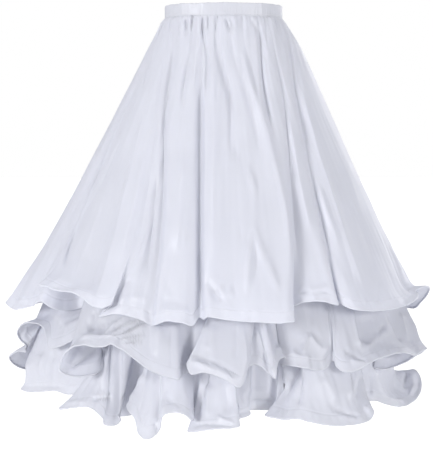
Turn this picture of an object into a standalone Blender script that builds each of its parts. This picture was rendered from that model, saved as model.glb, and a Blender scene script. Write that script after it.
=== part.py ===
"""Belly dance skirt: a narrow elastic waistband with three layered circle-cut tiers gathered into it.

Units are metres, +Z is up, -Y is the front and +X is the wearer's left, which is the right-hand side seen from
the front. The origin is the middle of the waistband, where the wearer holds the skirt up. Each tier is two
half-circle panels, front and back, joined at the sides. The skirt keeps the shape it has when it is filled out:
a cone whose flutes deepen from the waist to the hem, with hems that flare, tuck under and roll.
"""
import math
import random
from collections import namedtuple

import bmesh
import bpy
import numpy as np
from mathutils import Vector
from mathutils.bvhtree import BVHTree

# Driving dimensions
WAIST_HALF_WIDTH = 0.1345
DEPTH_SHARE = 0.80
BAND_HEIGHT = 0.027
BAND_WALL = 0.0050
BAND_ROUNDING = 0.0010
BAND_COLUMNS = 72
CLOTH_WALL = 0.0012
SEAM_GAP = 0.0003
SIDE_GAP = 0.0005
LAYER_STEP = 0.00165
LAYER_GAP = 0.0060
SIDE_LOOK = 0.025
HEM_ROLL = 0.060
HEM_BEND = 0.024
SIDE_LEAN = -0.0196
LEAN_HEIGHT = 0.61
GATHER_COUNT = 38
GATHER_DEPTH = 0.0075
GATHER_LENGTH = 0.150
BACK_FOLDS = 10
ROUNDNESS = 0.52
SAMPLES = 1600

# One row for each flute, from the left side round the front to the right side. Angles are degrees from the
# front, positive to the right. out and dip_out are shares of the tier's hem half-width at the flute's crest and
# in the valley to its right. drop and dip_drop are millimetres of hem below the tier's hem level. curl and
# dip_curl are how far the hem turns up and out there, in degrees, or tucks under where they are negative.
Fold = namedtuple("Fold", "crest out drop curl dip dip_out dip_drop dip_curl")

UPPER_FOLDS = [
    Fold(crest=-85, out=1.04, drop=4, curl=22, dip=-72, dip_out=0.93, dip_drop=-6, dip_curl=0),
    Fold(crest=-63, out=0.99, drop=2, curl=-50, dip=-56, dip_out=0.98, dip_drop=4, dip_curl=-58),
    Fold(crest=-49, out=0.99, drop=2, curl=-52, dip=-41, dip_out=0.85, dip_drop=-10, dip_curl=0),
    Fold(crest=-34, out=0.975, drop=-8, curl=5, dip=-28, dip_out=0.87, dip_drop=3, dip_curl=0),
    Fold(crest=-18, out=0.985, drop=20, curl=0, dip=-13, dip_out=0.955, dip_drop=9, dip_curl=0),
    Fold(crest=-8.5, out=1.00, drop=20, curl=10, dip=-5.5, dip_out=0.74, dip_drop=0, dip_curl=0),
    Fold(crest=-1.5, out=0.965, drop=-6, curl=6, dip=4, dip_out=0.955, dip_drop=0, dip_curl=0),
    Fold(crest=14, out=1.00, drop=12, curl=0, dip=23, dip_out=0.76, dip_drop=-16, dip_curl=0),
    Fold(crest=33, out=0.88, drop=-24, curl=10, dip=43, dip_out=0.79, dip_drop=-14, dip_curl=5),
    Fold(crest=50, out=0.985, drop=2, curl=0, dip=58, dip_out=0.965, dip_drop=4, dip_curl=0),
    Fold(crest=66, out=0.985, drop=0, curl=0, dip=74, dip_out=0.91, dip_drop=-8, dip_curl=15),
    Fold(crest=86, out=1.045, drop=-20, curl=66, dip=99, dip_out=0.80, dip_drop=-4, dip_curl=10),
]
MIDDLE_FOLDS = [
    Fold(crest=-88, out=1.00, drop=-10, curl=-20, dip=-74, dip_out=0.93, dip_drop=-52, dip_curl=20),
    Fold(crest=-62, out=0.94, drop=-50, curl=20, dip=-57, dip_out=0.93, dip_drop=-36, dip_curl=0),
    Fold(crest=-51, out=0.99, drop=-22, curl=0, dip=-45, dip_out=0.84, dip_drop=-56, dip_curl=0),
    Fold(crest=-41, out=1.02, drop=22, curl=15, dip=-33, dip_out=0.95, dip_drop=-42, dip_curl=-30),
    Fold(crest=-13, out=0.99, drop=12, curl=5, dip=-10.5, dip_out=0.72, dip_drop=-28, dip_curl=0),
    Fold(crest=-6.5, out=0.975, drop=4, curl=22, dip=-2, dip_out=0.965, dip_drop=4, dip_curl=15),
    Fold(crest=5.5, out=1.00, drop=27, curl=5, dip=10, dip_out=0.74, dip_drop=2, dip_curl=0),
    Fold(crest=16, out=0.94, drop=20, curl=5, dip=20, dip_out=0.75, dip_drop=-8, dip_curl=0),
    Fold(crest=26, out=0.92, drop=-2, curl=15, dip=35, dip_out=0.78, dip_drop=-12, dip_curl=0),
    Fold(crest=43, out=0.98, drop=17, curl=0, dip=56, dip_out=0.96, dip_drop=0, dip_curl=10),
    Fold(crest=68, out=0.99, drop=-13, curl=30, dip=76, dip_out=0.94, dip_drop=-16, dip_curl=25),
    Fold(crest=86, out=1.04, drop=0, curl=28, dip=99, dip_out=0.78, dip_drop=-10, dip_curl=0),
]
LOWER_FOLDS = [
    Fold(crest=-86, out=1.05, drop=-6, curl=-45, dip=-64, dip_out=0.94, dip_drop=-28, dip_curl=0),
    Fold(crest=-56, out=0.96, drop=-28, curl=0, dip=-49, dip_out=0.83, dip_drop=-24, dip_curl=0),
    Fold(crest=-43, out=1.02, drop=-2, curl=26, dip=-35, dip_out=0.96, dip_drop=-14, dip_curl=12),
    Fold(crest=-29.5, out=1.00, drop=12, curl=0, dip=-26.5, dip_out=0.75, dip_drop=4, dip_curl=0),
    Fold(crest=-23, out=1.00, drop=-12, curl=-25, dip=-20.5, dip_out=0.985, dip_drop=4, dip_curl=0),
    Fold(crest=-17, out=1.02, drop=30, curl=0, dip=-12.5, dip_out=0.96, dip_drop=-18, dip_curl=20),
    Fold(crest=-8.5, out=0.97, drop=-4, curl=20, dip=-7, dip_out=0.74, dip_drop=-18, dip_curl=0),
    Fold(crest=-5, out=1.02, drop=14, curl=38, dip=0, dip_out=0.98, dip_drop=10, dip_curl=25),
    Fold(crest=5, out=1.00, drop=10, curl=35, dip=9, dip_out=0.66, dip_drop=0, dip_curl=0),
    Fold(crest=15.5, out=1.00, drop=0, curl=38, dip=21, dip_out=0.96, dip_drop=-3, dip_curl=15),
    Fold(crest=35, out=1.00, drop=18, curl=12, dip=42, dip_out=0.98, dip_drop=16, dip_curl=5),
    Fold(crest=49, out=0.99, drop=12, curl=-35, dip=59, dip_out=0.85, dip_drop=-5, dip_curl=0),
    Fold(crest=81, out=1.03, drop=16, curl=-50, dip=99, dip_out=0.80, dip_drop=-4, dip_curl=0),
]

# level is the hem's height, half_width its half-width, rings the shares of the cloth's length that have a
# section, seed the number that varies the hidden flutes at the back.
Tier = namedtuple("Tier", "name level half_width folds rings front_columns back_columns layer seed")

TIERS = [
    Tier("upper_tier", -0.655, 0.458, UPPER_FOLDS, (0, 0.03, 0.09, 0.20, 0.36, 0.56, 0.77, 0.905, 0.932, 0.96, 1),
         80, 50, 0, 11),
    Tier("middle_tier", -0.772, 0.465, MIDDLE_FOLDS, (0, 0.08, 0.30, 0.55, 0.75, 0.86, 0.92, 0.945, 0.97, 1),
         80, 50, 1, 12),
    Tier("lower_tier", -0.875, 0.455, LOWER_FOLDS, (0, 0.08, 0.32, 0.60, 0.80, 0.88, 0.93, 0.95, 0.973, 1),
         80, 50, 2, 13),
]


def all_folds(tier):
    """The tier's rows for the front, then like ones worked out for the back, which closes the round."""
    chance = random.Random(tier.seed)
    start = tier.folds[-1].dip
    pitch = (tier.folds[0].crest + 360 - start) / (BACK_FOLDS + 0.5)
    folds = list(tier.folds)
    for number in range(BACK_FOLDS):
        middle = start + pitch * (number + 0.5) + chance.uniform(-0.12, 0.12) * pitch
        valley = start + pitch * (number + 1) + chance.uniform(-0.10, 0.10) * pitch
        folds.append(Fold(
            crest=middle,
            out=chance.uniform(0.96, 1.03),
            drop=chance.uniform(-6, 20),
            curl=chance.choice((-45, 0, 0, 15, 28)),
            dip=valley,
            dip_out=chance.uniform(0.72, 0.84),
            dip_drop=chance.uniform(-22, 2),
            dip_curl=chance.uniform(-5, 12),
        ))
    return folds


def hermite(start, end, leave, arrive, share):
    """A cubic from start to end with the given slopes."""
    square, cube = share**2, share**3
    return (start * (2 * cube - 3 * square + 1) + leave * (cube - 2 * square + share)
            + end * (3 * square - 2 * cube) + arrive * (cube - square))


def hem_curve(tier, share):
    """Angle, radius share, drop and curl of the hem at each share of the way through the tier's folds."""
    folds = all_folds(tier)
    rows = []
    for fold in folds:
        rows.append((fold.crest, fold.out, fold.drop / 1000, fold.curl))
        rows.append((fold.dip, fold.dip_out, fold.dip_drop / 1000, fold.dip_curl))
    nodes = np.array(rows, dtype=float)
    count = len(nodes)
    place = share * count
    first = np.floor(place).astype(int)
    local = place - first
    turn = 360.0
    start, end = nodes[first % count], nodes[(first + 1) % count]
    angles = [nodes[(first + step) % count, 0] + turn * ((first + step) // count) for step in (-1, 0, 1, 2)]
    leave = (angles[2] - angles[0]) * ROUNDNESS
    arrive = (angles[3] - angles[1]) * ROUNDNESS
    angle = hermite(angles[1], angles[2], leave, arrive, local)
    flat = np.zeros_like(local)
    out, drop, curl = [hermite(start[:, column], end[:, column], flat, flat, local) for column in (1, 2, 3)]
    return np.radians(angle), out, drop, curl


def even_shares(tier, columns, first, last):
    """Shares of the way through the folds, evenly spaced along the hem's own length, from one side to another."""
    share = np.linspace(first, last, SAMPLES)
    angle, out, drop, _ = hem_curve(tier, share)
    across = tier.half_width * out * np.sin(angle)
    deep = -tier.half_width * DEPTH_SHARE * out * np.cos(angle)
    length = np.concatenate([[0], np.cumsum(np.sqrt(np.diff(across)**2 + np.diff(deep)**2 + np.diff(drop)**2))])
    return np.interp(np.linspace(0, length[-1], columns + 1), length, share)


def waist_angle(tier, share):
    """The angle at the waist of the thread of cloth that reaches the hem at this share."""
    grid = np.linspace(-0.2, 1.2, SAMPLES)
    angle = hem_curve(tier, grid)[0]
    width = SAMPLES // 40
    kernel = np.ones(width) / width
    padded = np.pad(angle, width, mode="edge")
    smooth = np.convolve(padded, kernel, mode="same")[width:-width]
    return np.interp(share, grid, smooth)


def side_share(tier, angle):
    """The share at which the cloth's thread starts at this waist angle, where a side seam runs."""
    grid = np.linspace(-0.1, 1.1, SAMPLES)
    return float(np.interp(angle, np.maximum.accumulate(waist_angle(tier, grid)), grid))


def gathers(angle, fall):
    """How far the small gathers under the band stand out, uneven in width and depth."""
    uneven = angle + 0.05 * np.sin(3 * angle + 0.7) + 0.03 * np.sin(7 * angle + 2.1)
    wave = 0.5 + 0.5 * np.sin(GATHER_COUNT * uneven)
    wave = wave * (0.65 + 0.35 * np.sin(5 * angle + 1.3) * np.sin(11 * angle))
    rise = np.clip(fall / 0.012, 0, 1)
    return GATHER_DEPTH * wave * rise * np.exp(-fall / GATHER_LENGTH)


def tier_points(tier, shares):
    """The middle surface of a tier's wall: a row of points for each ring, a column for each share."""
    angle_hem, out, drop, curl = hem_curve(tier, shares)
    angle_waist = waist_angle(tier, shares)
    top = -BAND_HEIGHT / 2 - SEAM_GAP
    waist = WAIST_HALF_WIDTH - CLOTH_WALL / 2 - tier.layer * LAYER_STEP
    ring = np.array(tier.rings)[:, None]
    half = waist + (tier.half_width - waist) * ring
    reach = ring * tier.half_width / half
    angle = angle_waist + (angle_hem - angle_waist) * reach
    depth = (1 - out) * reach * np.sqrt(np.clip((ring - 0.04) / 0.96, 0, 1))
    height = top + (tier.level - drop - top) * ring
    length = math.hypot(tier.half_width - waist, tier.level - top)
    slope = math.atan2(tier.half_width - waist, top - tier.level)
    along = np.clip((ring - 1) * length + HEM_ROLL, 0, None)
    curl = np.where(np.abs(np.radians(curl)) < 1e-3, 1e-3, np.radians(curl))
    bent, beyond = np.minimum(along, HEM_BEND), np.clip(along - HEM_BEND, 0, None)
    turned = slope + curl * bent / HEM_BEND
    arc = HEM_BEND / curl
    outward = arc * (math.cos(slope) - np.cos(turned)) + np.sin(slope + curl) * beyond - math.sin(slope) * along
    upward = arc * (math.sin(slope) - np.sin(turned)) - np.cos(slope + curl) * beyond + math.cos(slope) * along
    small = gathers(angle_waist, ring * length) if tier.layer == 0 else 0
    radius_x = half * (1 - depth) + outward + small
    radius_y = half * DEPTH_SHARE * (1 - depth) + outward + small
    height = height + upward
    lean = SIDE_LEAN * np.clip(-height / LEAN_HEIGHT, 0, 1)
    return np.stack([lean + radius_x * np.sin(angle), -radius_y * np.cos(angle), height], axis=2)


def wall_tree(points):
    """A search tree of the closed round of a tier."""
    rows, columns = points.shape[:2]
    faces = [
        (row * columns + column, row * columns + (column + 1) % columns,
         (row + 1) * columns + (column + 1) % columns, (row + 1) * columns + column)
        for row in range(rows - 1) for column in range(columns)
    ]
    return BVHTree.FromPolygons([Vector(point) for point in points.reshape(-1, 3)], faces)


def press_inside(points, rings, tree):
    """Pulls a tier's points towards the axis until they clear the tier that lies over them."""
    rows, columns = points.shape[:2]
    factor = np.ones((rows, columns))
    for row in range(1, rows):
        gap = CLOTH_WALL + LAYER_STEP / 4 + LAYER_GAP * min(rings[row] / 0.15, 1)
        for column in range(columns):
            point = points[row, column]
            for lift in (0, 0.012, 0.024, 0.036, 0.048):
                height = min(point[2] + lift, -BAND_HEIGHT)
                lean = SIDE_LEAN * min(max(-height / LEAN_HEIGHT, 0), 1)
                middle = Vector((lean, 0, height))
                reach = math.hypot(point[0] - lean, point[1])
                facing = math.atan2(point[0] - lean, -point[1])
                for aside in (-SIDE_LOOK, 0, SIDE_LOOK):
                    ray = Vector((math.sin(facing + aside), -math.cos(facing + aside), 0))
                    hit = tree.ray_cast(middle, ray)[0]
                    if hit is not None:
                        room = ((hit - middle).length - gap) / reach
                        factor[row, column] = min(factor[row, column], room)
    for axis in (1, 0):
        lowest = factor.copy()
        for shift in (-1, 1):
            moved = np.roll(factor, shift, axis=axis)
            if axis == 0:
                moved[0 if shift == 1 else -1] = factor[0 if shift == 1 else -1]
            lowest = np.minimum(lowest, moved)
        blended = lowest.copy()
        for shift in (-1, 1):
            moved = np.roll(lowest, shift, axis=axis)
            if axis == 0:
                moved[0 if shift == 1 else -1] = lowest[0 if shift == 1 else -1]
            blended = blended + moved
        factor = blended / 3
    factor[0] = 1
    lean = SIDE_LEAN * np.clip(-points[:, :, 2] / LEAN_HEIGHT, 0, 1)
    points[:, :, 0] = lean + (points[:, :, 0] - lean) * factor
    points[:, :, 1] *= factor
    return points


def cloth_material(name, colour, roughness):
    """Cool white satin."""
    material = bpy.data.materials.new(name)
    material.use_nodes = True
    surface = material.node_tree.nodes["Principled BSDF"]
    surface.inputs["Base Color"].default_value = colour
    surface.inputs["Roughness"].default_value = roughness
    surface.inputs["Metallic"].default_value = 0
    return material


def finish(name, form, material):
    """Puts a bmesh into the scene as a named, smooth-shaded object."""
    mesh = bpy.data.meshes.new(name)
    bmesh.ops.recalc_face_normals(form, faces=form.faces)
    form.to_mesh(mesh)
    form.free()
    mesh.shade_smooth()
    mesh.materials.append(material)
    piece = bpy.data.objects.new(name, mesh)
    bpy.context.scene.collection.objects.link(piece)
    return piece


def add_panel(name, points, material):
    """One half of a tier: a flat grid of cloth, set to its shape and given its wall."""
    edges = points.copy()
    for column, inner in ((0, 1), (-1, -2)):
        step = points[:, inner] - points[:, column]
        step /= np.linalg.norm(step, axis=1)[:, None]
        edges[:, column] += step * SIDE_GAP / 2
    rows, columns = edges.shape[:2]
    form = bmesh.new()
    bmesh.ops.create_grid(form, x_segments=columns - 1, y_segments=rows - 1, size=0.5)
    for corner in form.verts:
        column = round((corner.co.x + 0.5) * (columns - 1))
        row = round((corner.co.y + 0.5) * (rows - 1))
        corner.co = edges[row, column]
    piece = finish(name, form, material)
    wall = piece.modifiers.new("wall", "SOLIDIFY")
    wall.thickness = CLOTH_WALL
    wall.offset = 0
    return piece


def add_tier(tier, tree):
    """Front and back panels of a tier. Gives the search tree of its wall for the tier under it."""
    left = side_share(tier, math.radians(-90))
    right = side_share(tier, math.radians(90))
    front = even_shares(tier, tier.front_columns, left, right)
    back = even_shares(tier, tier.back_columns, right, left + 1)
    shares = np.concatenate([front[:-1], back[:-1]])
    points = tier_points(tier, shares)
    if tree:
        points = press_inside(points, tier.rings, tree)
    material = cloth_material(tier.name + "_satin", (0.80, 0.82, 0.90, 1), 0.42)
    closed = np.concatenate([points, points[:, :1]], axis=1)
    add_panel(tier.name + "_front", closed[:, :tier.front_columns + 1], material)
    add_panel(tier.name + "_back", closed[:, tier.front_columns:], material)
    return wall_tree(points)


def add_waistband():
    """The elastic casing: an oval ring with softly rounded faces."""
    form = bmesh.new()
    bmesh.ops.create_circle(form, segments=BAND_COLUMNS, radius=WAIST_HALF_WIDTH)
    bmesh.ops.scale(form, verts=form.verts, vec=(1, DEPTH_SHARE, 1))
    bmesh.ops.translate(form, verts=form.verts, vec=(0, 0, -BAND_HEIGHT / 2))
    ring = list(form.edges)
    levels = (0, 0.12, 0.5, 0.88, 1)
    swell = (0, 0.8, 1, 0.8, 0)
    for low, high, before, after in zip(levels, levels[1:], swell, swell[1:]):
        made = bmesh.ops.extrude_edge_only(form, edges=ring)["geom"]
        verts = [item for item in made if isinstance(item, bmesh.types.BMVert)]
        ring = [item for item in made if isinstance(item, bmesh.types.BMEdge)]
        bmesh.ops.translate(form, verts=verts, vec=(0, 0, (high - low) * BAND_HEIGHT))
        growth = 1 + (after - before) * BAND_ROUNDING / WAIST_HALF_WIDTH
        bmesh.ops.scale(form, verts=verts, vec=(growth, growth, 1))
    piece = finish("waistband", form, cloth_material("waistband_casing", (0.82, 0.84, 0.91, 1), 0.5))
    wall = piece.modifiers.new("wall", "SOLIDIFY")
    wall.thickness = BAND_WALL
    wall.offset = -1
    return piece


def main():
    for item in list(bpy.data.objects):
        bpy.data.objects.remove(item)
    add_waistband()
    tree = None
    for tier in TIERS:
        tree = add_tier(tier, tree)


main()
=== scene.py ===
import math
import random
from collections import namedtuple

import bmesh
import bpy
import numpy as np
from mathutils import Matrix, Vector, noise
from mathutils.bvhtree import BVHTree


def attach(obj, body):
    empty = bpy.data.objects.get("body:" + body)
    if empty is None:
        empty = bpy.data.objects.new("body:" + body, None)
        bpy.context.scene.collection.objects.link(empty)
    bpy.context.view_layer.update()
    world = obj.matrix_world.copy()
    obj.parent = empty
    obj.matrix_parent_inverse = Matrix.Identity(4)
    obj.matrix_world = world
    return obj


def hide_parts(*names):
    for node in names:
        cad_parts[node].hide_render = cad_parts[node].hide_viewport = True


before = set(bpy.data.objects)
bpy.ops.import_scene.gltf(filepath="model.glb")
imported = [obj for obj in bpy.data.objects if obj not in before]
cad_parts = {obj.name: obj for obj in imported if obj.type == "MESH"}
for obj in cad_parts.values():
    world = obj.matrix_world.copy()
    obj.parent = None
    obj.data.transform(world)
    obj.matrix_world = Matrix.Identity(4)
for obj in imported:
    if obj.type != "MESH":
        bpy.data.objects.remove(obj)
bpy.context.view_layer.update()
scene = bpy.context.scene
print("frame loaded:", ", ".join(sorted(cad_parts)))


# Camera, at the photograph's viewing angle
shot = {
    "across": -0.0161,       # metres to the right of the waist's middle
    "distance": 3.45,
    "height": -0.2845,
    "aimHeight": -0.4856,
    "focal": 1500.0,         # in pixels of the picture
    "pictureSize": (433, 449),
}

camera = bpy.data.cameras.new("camera")
camera.sensor_fit = "HORIZONTAL"
camera.sensor_width = 36
camera.lens = 36 * shot["focal"] / shot["pictureSize"][0]
cameraObject = bpy.data.objects.new("camera", camera)
scene.collection.objects.link(cameraObject)
scene.camera = cameraObject
cameraPlace = Vector((shot["across"], -shot["distance"], shot["height"]))
cameraAim = Vector((shot["across"], 0, shot["aimHeight"])) - cameraPlace
cameraObject.location = cameraPlace
cameraObject.rotation_euler = cameraAim.to_track_quat("-Z", "Y").to_euler()
cameraForward = np.array(cameraAim.normalized())
cameraUp = np.array([0, -cameraForward[2], cameraForward[1]])
print("camera set")


def seenAt(x, y, depth):
    # the points that show at picture places x, y and lie depth metres behind the waist's middle
    aside = (x - shot["pictureSize"][0] / 2) / shot["focal"]
    rise = (shot["pictureSize"][1] / 2 - y) / shot["focal"]
    ray = cameraForward + aside[..., None] * np.array([1.0, 0, 0]) + rise[..., None] * cameraUp
    reach = (depth + shot["distance"]) / ray[..., 1]
    return np.array(cameraPlace) + ray * reach[..., None]


def pictureOf(points):
    # where points show in the picture
    offset = points - np.array(cameraPlace)
    ahead = offset @ cameraForward
    x = shot["pictureSize"][0] / 2 + shot["focal"] * offset[..., 0] / ahead
    y = shot["pictureSize"][1] / 2 - shot["focal"] * (offset @ cameraUp) / ahead
    return x, y


# The skirt's own sizes in metres, as in the solids, but for a thinner wall and a waist that is 1.5 mm
# narrower on either side
skirt = {
    "waistHalfWidth": 0.1330,
    "depthShare": 0.80,      # front to back, as a share of the width
    "bandHeight": 0.027,
    "clothWall": 0.0006,
    "layerStep": 0.00165,    # how far each tier hangs inside the one over it at the band
    "sideLean": -0.0196,     # how far the hem hangs to the left
    "leanHeight": 0.61,      # the height over which it gets there
    "rollLength": 0.060,     # cloth above the hem that may flare or turn
    "bendLength": 0.034,     # the part of it that bends
    "hemBead": 0.0017,
    "beadTurn": 300,         # degrees
    "beadRows": 5,
    "stitchHeight": 0.023,   # the seam of the turned hem, above the edge
    "stitchDent": 0.0007,
    "stitchWidth": 0.0014,
}

# Where the hem shows in the 433 x 449 picture, from the left side round the front to the right side. depth
# is centimetres behind the waist's middle, roll how far the cloth turns up and out before the hem in
# degrees, rise how far up the skirt the fold still shows, as a share of its length.
HemPoint = namedtuple("HemPoint", "x y depth roll rise", defaults=[0.3])

upperHem = [
    (6, 300.5, 2, 8), (12, 308, -4, 6), (18, 308.5, -8, 5), (33, 305, -13, 5), (41, 301, -16, 0),
    (52, 307.5, -17, 0), (65, 310, -16.2, 0), (78, 308.5, -15.6, 0, 0.25), (90, 303, -17.2, 0, 0.25),
    (94, 297, -20, 0, 0.25), (80, 288, -20.6, 4, 0.25), (60, 283, -18.8, 8, 0.25),
    (46, 281, -17.3, 15, 0.25), (39, 284, -18, 26), (47, 286, -21, 40), (60, 289.5, -23.5, 50),
    (72, 292, -25.5, 50, 0.4), (82, 297, -27, 38, 0.5), (89, 303, -28, 15, 0.6),
    (94, 306, -28.8, 5, 0.8), (103, 307.5, -29.6, 0, 0.35), (112, 304, -29.6, 0),
    (108, 308, -28.4, 0, 0.28), (98, 316.5, -27.8, 5, 0.25), (105, 315.3, -28.4, 8, 0.28),
    (115, 313.5, -29.4, 8), (130, 316, -30.3, 5, 0.42), (142, 320, -31.8, 0, 0.6),
    (152, 325, -33, 0, 0.8), (154.5, 324, -35, 5, 0.9), (165, 320, -36, 12, 1),
    (175, 320.5, -36.6, 12, 1), (185, 322, -36.6, 8, 1), (193, 325, -35.5, 0, 0.8),
    (197, 320, -34.7, 0, 0.7), (199, 316, -34.3, 0, 0.7), (201, 317.5, -34.4, 0, 0.6),
    (202.6, 319, -35, 3, 0.6), (203.6, 318, -36.1, 10, 0.6), (207, 316, -37, 12, 0.8),
    (218, 317.5, -37, 8, 1), (234, 320, -36.9, 5, 1), (256, 321.5, -36.8, 0, 1),
    (278, 322.5, -36, 0, 1), (289, 321.5, -35.2, 0, 0.7), (295, 320.5, -34, 10, 0.6),
    (291, 314, -32, 0, 0.6), (288, 306, -30.6, 0, 0.6), (293, 305, -30.4, 5, 0.6),
    (302, 301.5, -30.8, 12, 0.8), (313, 300.3, -30.8, 12, 0.8), (325, 301, -30, 8, 0.8),
    (338, 304.5, -28.6, 0, 0.6), (337, 300, -26.6, 0, 0.5), (341, 303.5, -27.6, 0, 0.6),
    (348, 307, -28.2, 5, 0.8), (358, 309.5, -27.8, 8, 0.8), (372, 310, -25.5, 8, 0.8),
    (385, 309, -23, 10, 0.7), (395, 307.5, -20.5, 14, 0.6), (404, 305, -17.5, 24, 0.5),
    (411, 301.5, -14.8, 34, 0.4), (416.5, 297, -12.5, 44, 0.35), (418, 293.3, -11, 52),
    (415, 290.5, -9.5, 60), (419, 287.5, -7.5, 64), (425, 285.3, -5, 64), (429, 287, -2.5, 60),
    (428.5, 291, -0.5, 54), (425.5, 296.5, 1, 46), (421, 301, 2.5, 38), (414, 307, 5, 25, 0.4),
]

middleHem = [
    (36, 367, 10, 10), (28, 368.5, 7.5, 20), (18, 366, 5, 25), (11, 361, 2.5, 35), (9.5, 356.5, 1, 38),
    (12.5, 352.5, -0.5, 38), (19, 350.5, -2, 32), (25, 350.5, -3, 20), (26, 345, -3, 20),
    (21, 340, -2.5, 30), (17.5, 333.5, -3, 38), (19.5, 326, -5, 42), (25, 322, -7.5, 44),
    (32, 321, -9.5, 44), (39, 323, -11.5, 40), (44, 328, -13, 30), (46, 336, -13.8, 15),
    (47.7, 347.3, -14.8, 5), (57, 346.5, -17, 0, 0.4), (67, 342, -19.3, 0, 0.4),
    (75, 336, -21.3, 0, 0.4), (80, 329, -22.5, 0, 0.4), (87, 319, -22.5, 0, 0.4),
    (93, 322, -21.5, 0, 0.4), (99, 342, -22.5, 0, 0.4), (102, 360, -25.6, 0), (98, 372, -27.4, 5),
    (86, 376, -28.2, 10), (73, 376.5, -28.6, 15), (63, 373.5, -28.8, 20), (58, 369, -29.4, 24),
    (60, 360.5, -30, 30), (66, 351, -30.8, 37), (75, 345, -31, 43, 0.35), (86, 346, -32.4, 45, 0.4),
    (100, 346.8, -34, 43, 0.4), (112, 345.5, -35, 37, 0.4), (122, 348.5, -35.6, 27, 0.4),
    (131, 355.5, -36, 18, 0.5), (140, 362.5, -36.4, 10, 0.5), (151, 370, -36.7, 5, 0.5),
    (165, 375.5, -36.8, 0, 0.6), (178.5, 379, -36.3, 0, 0.8), (180.5, 377, -34.4, 0, 0.8),
    (183, 374, -32.6, 0, 0.7), (189, 372, -31.9, 0, 0.6), (192, 371, -32.3, 0, 0.4),
    (186.5, 363, -34.6, 0), (191, 373.7, -35.9, 4, 0.4), (203, 371.7, -36.6, 12, 0.7),
    (218, 376, -37.4, 10, 0.8), (229, 381, -37.6, 5, 0.8), (240, 387, -37.2, 0, 0.8),
    (246, 377, -35.4, 0, 0.45), (247.5, 370, -34.4, 0, 0.4), (249, 366, -33.8, 0, 0.4),
    (255, 364, -33.4, 0, 0.4), (262, 366.5, -33.4, 0, 0.4), (269, 373, -33.5, 0, 0.5),
    (275, 378.5, -34.7, 0, 0.5), (277, 368, -33.8, 0, 0.5), (279, 360, -32.2, 10, 0.4),
    (283.5, 357, -30.5, 20), (286, 361, -29, 10), (283, 366, -28.7, 0, 0.4),
    (281, 364.8, -29.8, 8, 0.5), (290, 364.8, -31, 14, 0.6), (300, 366.3, -31.4, 14, 0.6),
    (311, 368.3, -31.2, 8, 0.6), (321, 370.3, -29.8, 0, 0.35), (328, 366, -28, 0), (333, 360, -27, 0),
    (334, 361.5, -27.8, 0), (337, 366.7, -28.5, 5, 0.4), (343, 370.5, -29, 8, 0.6),
    (351, 371, -28.6, 10, 0.6), (360, 368, -27.5, 20, 0.5), (371, 361, -25.8, 30, 0.4),
    (382, 356, -23.7, 42, 0.35), (395, 353, -20.8, 48), (407, 352.5, -17, 45), (414, 354.5, -14.5, 35),
    (421, 351, -11.5, 24), (427, 348, -8.5, 15), (421, 353, -8, 18), (413, 357.5, -9, 15),
    (405, 362.5, -10.5, 10), (395, 366.3, -12.3, 5), (385, 369, -14, 0), (373, 367.5, -15, 0),
    (381, 361, -12, 0), (396, 355, -7, 0), (406, 351, -1, 0, 0.4),
]

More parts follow.
